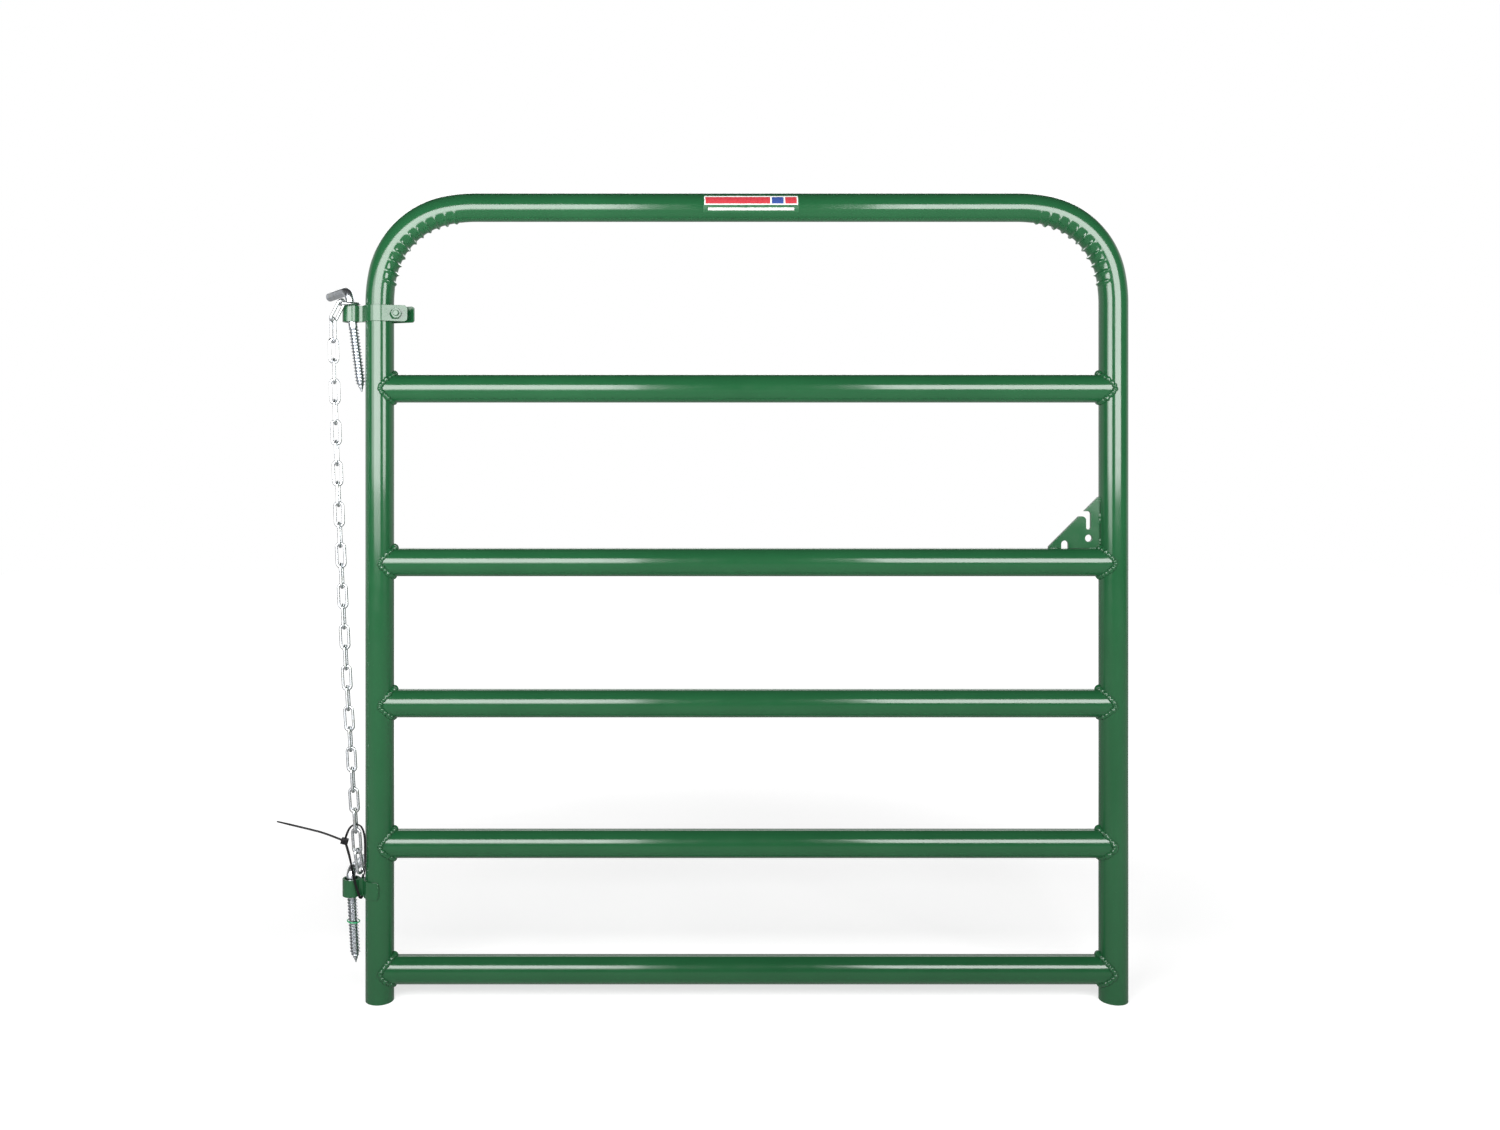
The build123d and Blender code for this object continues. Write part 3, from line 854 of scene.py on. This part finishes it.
def hook_radius(hook, height, angle):
    """Skin radius of the shank at a height below the bend; the lag thread winds down to the point."""
    cone_z = hook["tip_z"] + HOOK_POINT_L
    if height > hook["thread_z"]:
        return ROD_R
    body = THREAD_ROOT_R
    crest = THREAD_R
    if height < cone_z:
        taper = (height - hook["tip_z"]) / HOOK_POINT_L
        body = POINT_R + (THREAD_ROOT_R - POINT_R) * taper
        rise = max(0.0, POINT_CREST_GAIN * taper - (POINT_CREST_GAIN - 1))
        crest = body + (THREAD_R - THREAD_ROOT_R) * rise
    turn = (height / THREAD_PITCH + angle / (2 * math.pi)) % 1.0
    from_crest = abs(turn - 0.5) * THREAD_PITCH
    slope = max(0.0, 1 - max(0.0, from_crest - THREAD_CREST) / THREAD_FLANK)
    run_in = min(1.0, (hook["thread_z"] - height) / THREAD_RUN_IN)
    root = ROD_R + (body - ROD_R) * run_in
    return root + (crest - root) * slope * run_in


def hook_rings(hook):
    """Rings from the tip up the shank, round the bend and out along the pin, in the hook's own frame."""
    rings = []
    bend_z = hook["pin_z"] - HOOK_BEND_R
    count = math.ceil((bend_z - hook["tip_z"]) / (THREAD_PITCH / THREAD_RINGS))
    for index in range(count + 1):
        height = hook["tip_z"] + (bend_z - hook["tip_z"]) * index / count
        ring = []
        for angle in circle(HOOK_AROUND):
            radius = hook_radius(hook, height, angle)
            ring.append(Vector((radius * math.cos(angle), radius * math.sin(angle), height)))
        rings.append(ring)
    for index in range(1, HOOK_BEND_SPANS + 1):
        turn = math.pi / 2 * index / HOOK_BEND_SPANS
        centre = Vector((HOOK_BEND_R * (1 - math.cos(turn)), 0, bend_z + HOOK_BEND_R * math.sin(turn)))
        rings.append(rod_ring(centre, turn, ROD_R))
    straight = HOOK_PIN_L - HOOK_BEND_R
    ends = [(straight / 2, 0.0)] + [(straight - back * MM, less * MM) for back, less in HOOK_PIN_END]
    for along, less in ends:
        centre = Vector((HOOK_BEND_R + along, 0, hook["pin_z"]))
        rings.append(rod_ring(centre, math.pi / 2, ROD_R - less))
    return rings


def rod_ring(centre, turn, radius):
    """Ring square to the rod where it has turned by an angle from straight up towards +X."""
    across = Vector((math.cos(turn), 0, -math.sin(turn)))
    return [
        centre + across * (radius * math.cos(angle)) + Vector((0, radius * math.sin(angle), 0))
        for angle in circle(HOOK_AROUND)]


def screw_hook(which):
    """One hook, placed by its joint and turned so that its bend points along its pin's mount."""
    joint = joints[f"{which}_hook_turn"]
    up = Vector(joint["axis"]).normalized()
    along = Vector(mounts[f"{which}_hook_pin"]["axis"])
    along = (along - up * along.dot(up)).normalized()
    turn = Matrix((along, up.cross(along), up)).transposed()
    origin = Vector(joint["pos_m"])
    rings = [[origin + turn @ point for point in ring] for ring in hook_rings(HOOKS[which])]
    points, faces = skin(rings)
    piece = make_object(
        f"{which}_hook_steel", points, faces, HOOK_ZINC, f"{which}_hook", HOOK_SHARP_DEG)
    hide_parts(f"{which}_screw_hook")


# ------------------------------------------------------------------ cable tie

def smooth_line(name, route):
    """Points of a NURBS line through a given route in millimetres."""
    curve = bpy.data.curves.new(name, "CURVE")
    curve.dimensions = "3D"
    curve.resolution_u = TIE_RESOLUTION
    spline = curve.splines.new("NURBS")
    spline.points.add(len(route) - 1)
    for point, place in zip(spline.points, route):
        point.co = (*(value * MM for value in place), 1.0)
    spline.order_u = 3
    spline.use_endpoint_u = True
    carrier = bpy.data.objects.new(name, curve)
    mesh = bpy.data.meshes.new_from_object(carrier)
    line = [vertex.co.copy() for vertex in mesh.vertices]
    bpy.data.objects.remove(carrier)
    bpy.data.curves.remove(curve)
    return line


def strap_skin(line, flat_normal_at, width_at):
    """Flat strap with rounded edges and a shallow groove down its outer face."""
    rings = []
    last = len(line) - 1
    half_t = TIE_THICK / 2
    for index, point in enumerate(line):
        heading = (line[min(index + 1, last)] - line[max(index - 1, 0)]).normalized()
        normal = flat_normal_at(point)
        normal = (normal - heading * normal.dot(heading)).normalized()
        across = heading.cross(normal)
        half_w = width_at(index) / 2
        rings.append([point + across * (half_w * u) - normal * (half_t * v) for u, v in TIE_OUTLINE])
    return skin(rings)


def tie_loop():
    """Closed part of the strap, its grooved face turned outwards and to the front."""
    line = smooth_line("tie_loop_route", TIE_LOOP)
    middle = sum(line, Vector()) / len(line)
    return strap_skin(line, lambda point: (middle - point).normalized() + TIE_LEAN, lambda index: TIE_WIDTH)


def tie_tail():
    """Free end of the strap, with a tapered tip."""
    line = smooth_line("tie_tail_route", TIE_TAIL)
    last = len(line) - 1

    def width_at(index):
        if index < last - TIE_TAIL_TAPER:
            return TIE_WIDTH
        return TIE_WIDTH * (TIE_TAIL_TIP + TIE_TAIL_TAPER_STEP * (last - index))

    return strap_skin(line, lambda point: TIE_TAIL_FLAT, width_at)


def tie_head():
    """Locking head: a rounded block with a sunken mouth at each end, where the strap passes."""
    work = bmesh.new()
    bmesh.ops.create_cube(work, size=1.0)
    bmesh.ops.scale(work, vec=TIE_HEAD_SIZE, verts=work.verts)
    mouths = [face for face in work.faces if abs(face.normal.x) > 0.9]
    for face in mouths:
        bmesh.ops.inset_region(work, faces=[face], thickness=TIE_HEAD_RIM)
        bmesh.ops.translate(work, vec=face.normal * -TIE_HEAD_MOUTH, verts=face.verts)
    bmesh.ops.bevel(
        work, geom=list(work.edges), offset=TIE_HEAD_BEVEL, segments=2, affect="EDGES", profile=0.5)
    turn = Matrix.Rotation(math.radians(TIE_HEAD_DEG), 4, "Y")
    place = Matrix.Translation(Vector(TIE_HEAD_AT) * MM)
    bmesh.ops.transform(work, matrix=place @ turn, verts=work.verts)
    work.verts.ensure_lookup_table()
    points = [vertex.co.copy() for vertex in work.verts]
    faces = [tuple(vertex.index for vertex in face.verts) for face in work.faces]
    work.free()
    return points, faces


def cable_tie():
    """Loop, tail and head of the tie as one piece."""
    points, faces = merge(tie_loop(), tie_tail(), tie_head())
    piece = make_object("nylon_tie", points, faces, NYLON, "gate", TIE_SHARP_DEG)
    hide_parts("cable_tie")


# ------------------------------------------------------------------ materials of the kept CAD nodes

def dress(node, material):
    """Give a kept CAD node its visual material."""
    nodes[node].data.materials.clear()
    nodes[node].data.materials.append(material)


def dress_cad():
    """Materials of the chain, the plastic ring and the film, whose CAD shapes stay."""
    for node in nodes:
        if node.startswith("chain_"):
            dress(node, CHAIN_ZINC)
    dress("retaining_ring", RING)
    dress("label", FILM)


# ------------------------------------------------------------------ stage, lights and camera

def add_floor():
    """Flat white floor at the gate's feet."""
    mesh = bpy.data.meshes.new("floor")
    corners = [(FLOOR_X[0], FLOOR_Y[0], 0), (FLOOR_X[1], FLOOR_Y[0], 0),
               (FLOOR_X[1], FLOOR_Y[1], 0), (FLOOR_X[0], FLOOR_Y[1], 0)]
    mesh.from_pydata(corners, [], [(0, 1, 2, 3)])
    floor = add_object("floor", mesh)
    floor.data.materials.append(floor_white("floor_white"))


def add_panel(
        name, span_x, span_z=(PANEL_BOTTOM, PANEL_TOP), radiance=PANEL_RADIANCE, lit_only=(), y=PANEL_Y):
    """Soft upright panel before or behind the gate, facing it; lit_only names the pieces it is kept to."""
    width = span_x[1] - span_x[0]
    height = span_z[1] - span_z[0]
    light = bpy.data.lights.new(name, "AREA")
    light.shape = "RECTANGLE"
    light.size = width
    light.size_y = height
    light.energy = radiance * math.pi * width * height
    lamp = add_object(name, light)
    lamp.location = (sum(span_x) / 2, y, sum(span_z) / 2)
    lamp.rotation_euler = (-math.copysign(math.pi / 2, y), 0, 0)
    if lit_only:
        group = bpy.data.collections.new(f"{name}_lit")
        for piece in lit_only:
            group.objects.link(bpy.data.objects[piece])
        lamp.light_linking.receiver_collection = group


def add_lights():
    """Front panels with a dark gap that splits each rail's shine, one high behind, and two kept to pieces."""
    add_panel("far_left_panel", FAR_PANEL_X, radiance=FAR_PANEL_RADIANCE)
    add_panel("left_panel", LEFT_PANEL_X)
    add_panel("right_panel", RIGHT_PANEL_X)
    add_panel("left_fade", LEFT_PANEL_X, (PANEL_FADE_BOTTOM, PANEL_BOTTOM), PANEL_FADE_RADIANCE)
    add_panel("rear_panel", REAR_PANEL_X, REAR_PANEL_Z, REAR_PANEL_RADIANCE, y=REAR_PANEL_Y)
    add_panel("band_card", CARD_X, CARD_Z, lit_only=["clamp_band"])
    zinc_pieces = [piece.name for piece in bpy.data.objects if piece.name.startswith(ZINC_PREFIXES)]
    add_panel("zinc_card", ZINC_PANEL_X, ZINC_PANEL_Z, ZINC_PANEL_RADIANCE, zinc_pieces)


def add_world():
    """White to the eye; as light, white only low down behind the gate and dim everywhere else."""
    world = bpy.data.worlds.new("studio")
    bpy.context.scene.world = world
    world.use_nodes = True
    tree = world.node_tree
    coords = tree.nodes.new("ShaderNodeTexCoord").outputs["Generated"]
    split = tree.nodes.new("ShaderNodeSeparateXYZ")
    tree.links.new(coords, split.inputs["Vector"])
    shares = []
    for axis, start, end in WORLD_FADES:
        fade = tree.nodes.new("ShaderNodeMapRange")
        fade.interpolation_type = "SMOOTHSTEP"
        fade.inputs["From Min"].default_value = start
        fade.inputs["From Max"].default_value = end
        tree.links.new(split.outputs[axis], fade.inputs["Value"])
        shares.append(fade.outputs["Result"])
    both = tree.nodes.new("ShaderNodeMath")
    both.operation = "MULTIPLY"
    for slot, share in zip(both.inputs, shares):
        tree.links.new(share, slot)
    lift = tree.nodes.new("ShaderNodeMapRange")
    lift.inputs["To Min"].default_value = WORLD_DIM
    lift.inputs["To Max"].default_value = WORLD_BACK
    tree.links.new(both.outputs["Value"], lift.inputs["Value"])
    seen = tree.nodes.new("ShaderNodeLightPath").outputs["Is Camera Ray"]
    strength = tree.nodes.new("ShaderNodeMath")
    strength.operation = "MAXIMUM"
    tree.links.new(lift.outputs["Result"], strength.inputs[0])
    tree.links.new(seen, strength.inputs[1])
    background = tree.nodes["Background"]
    tree.links.new(strength.outputs["Value"], background.inputs["Strength"])
    background.inputs["Color"].default_value = (*WHITE, 1.0)


def add_camera():
    """Camera of the photo's view."""
    camera = bpy.data.cameras.new("camera")
    camera.sensor_width = CAMERA_SENSOR
    camera.lens = CAMERA_SENSOR * CAMERA_FOCAL_SHARE
    camera.shift_x = CAMERA_SHIFT_X
    camera.shift_y = CAMERA_SHIFT_Y
    camera.clip_end = CAMERA_CLIP_END
    holder = add_object("camera", camera)
    holder.location = CAMERA_AT
    holder.rotation_euler = (math.pi / 2, 0, 0)
    bpy.context.scene.camera = holder


add_camera()
add_floor()
add_world()
bow_frame()
rails()
rail_welds()
hardware_welds()
for hook_name in HOOKS:
    screw_hook(hook_name)
cable_tie()
for cad_node, new_name, finish_slot, edge_width in SOFTENED:
    softened(cad_node, new_name, edge_width)
dress_cad()
add_lights()
bpy.context.scene.view_settings.view_transform = "Standard"
